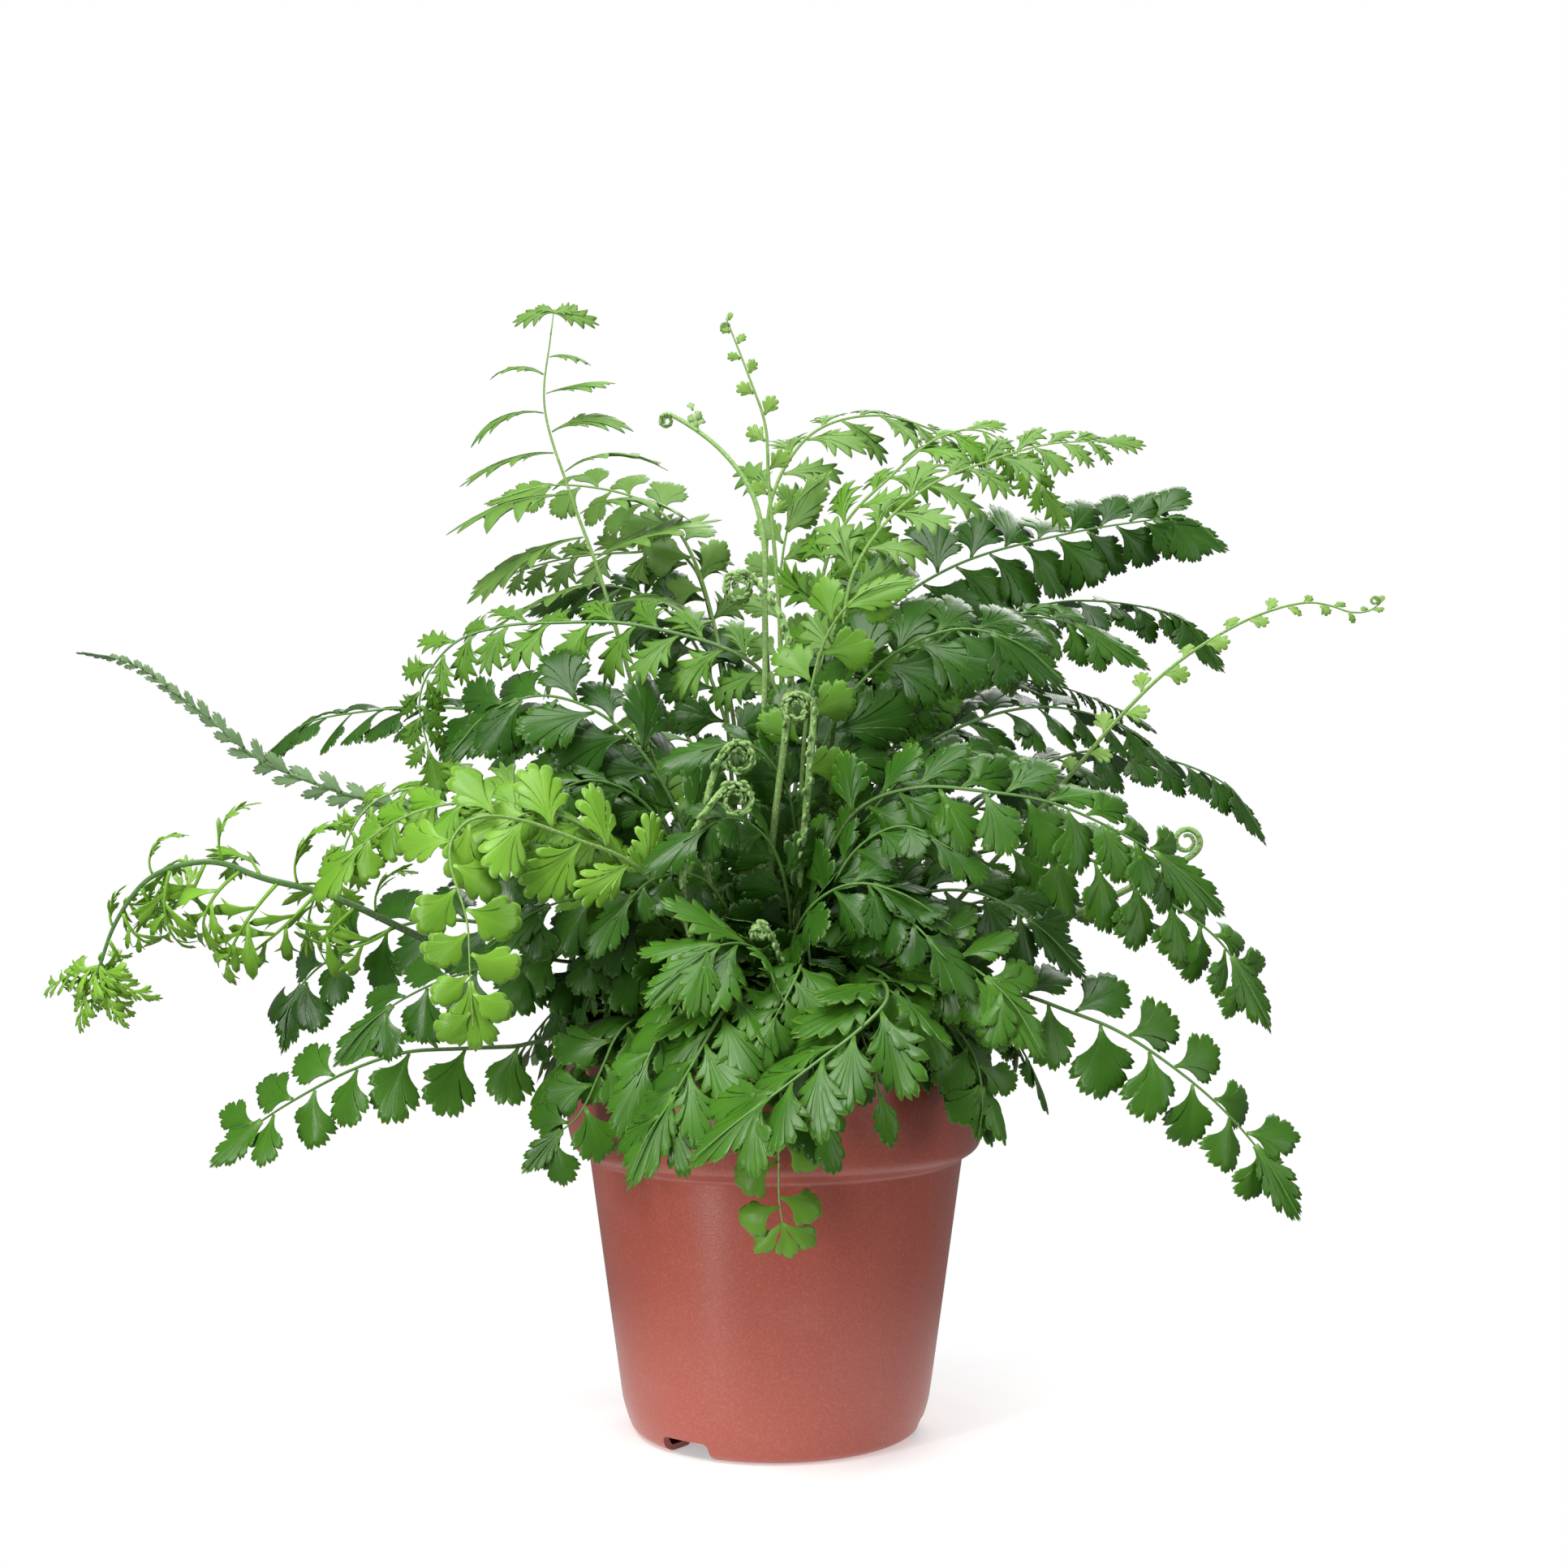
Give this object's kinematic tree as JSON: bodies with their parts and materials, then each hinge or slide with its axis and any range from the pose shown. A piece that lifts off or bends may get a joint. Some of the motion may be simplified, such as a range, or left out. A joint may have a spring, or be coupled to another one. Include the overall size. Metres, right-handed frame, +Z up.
{
  "type": "potted fern",
  "caption": "Leathery evergreen fern with arching toothed fronds and coiled young croziers in a round tapered plastic nursery pot.",
  "frame": {"origin": "centre of the pot's underside, on the surface the pot stands on", "axes": "+Z up along the pot's axis, -Y towards the plant's show side, +X to that side's right"},
  "size_m": [0.3782, 0.2476, 0.325],
  "materials": {
    "pot_plastic": "satin",
    "potting_soil": "matte",
    "crown": "matte",
    "crozier_scaly": "matte",
    "leaf_dark": "satin",
    "leaf_mid": "satin",
    "leaf_pale": "satin",
    "leaf_lime": "satin",
    "leaf_young": "satin"
  },
  "bodies": {
    "root": {"crown": "crown", "crozier_middle_lower": "crozier_scaly", "crozier_middle_right": "crozier_scaly", "crozier_middle_tall": "crozier_scaly", "crozier_middle_upper": "crozier_scaly", "crozier_right": "crozier_scaly", "crozier_small_front": "crozier_scaly", "crozier_top_left": "crozier_scaly", "frond_back_1": "leaf_dark", "frond_back_2": "leaf_dark", "frond_back_3": "leaf_dark", "frond_back_4": "leaf_dark", "frond_back_5": "leaf_dark", "frond_back_6": "leaf_dark", "frond_back_7": "leaf_dark", "frond_back_8": "leaf_dark", "frond_back_left_rising": "leaf_pale", "frond_back_right_high": "leaf_dark", "frond_back_right_thin": "leaf_dark", "frond_back_right_wavy": "leaf_dark", "frond_broad_left": "leaf_dark", "frond_broad_middle_right": "leaf_dark", "frond_broad_right": "leaf_dark", "frond_erect_left": "leaf_pale", "frond_fine_left": "leaf_mid", "frond_front_left_long": "leaf_mid", "frond_front_left_low": "leaf_dark", "frond_front_left_short": "leaf_mid", "frond_front_middle_dark": "leaf_dark", "frond_front_middle_long": "leaf_mid", "frond_front_right_low": "leaf_mid", "frond_front_right_short": "leaf_dark", "frond_hanging_front": "leaf_pale", "frond_left_dark": "leaf_dark", "frond_left_dark_drooping": "leaf_dark", "frond_left_long": "leaf_dark", "frond_left_middle": "leaf_dark", "frond_lime_curled_left": "leaf_lime", "frond_lime_front_left": "leaf_lime", "frond_lime_left_fine": "leaf_lime", "frond_lower_left": "leaf_dark", "frond_lower_right": "leaf_dark", "frond_pale_left": "leaf_pale", "frond_pale_middle": "leaf_pale", "frond_pale_right": "leaf_pale", "frond_right_drooping": "leaf_dark", "frond_right_lit": "leaf_mid", "frond_right_middle": "leaf_dark", "frond_right_show": "leaf_dark", "frond_rim_left": "leaf_mid", "frond_rim_right": "leaf_mid", "frond_top_middle": "leaf_pale", "frond_top_right": "leaf_mid", "frond_top_right_long": "leaf_pale", "frond_upper_left": "leaf_mid", "frond_upper_left_fine": "leaf_pale", "frond_young_erect": "leaf_young", "frond_young_right_long": "leaf_young", "pot": "pot_plastic", "potting_soil": "potting_soil"}
  },
  "joints": []
}
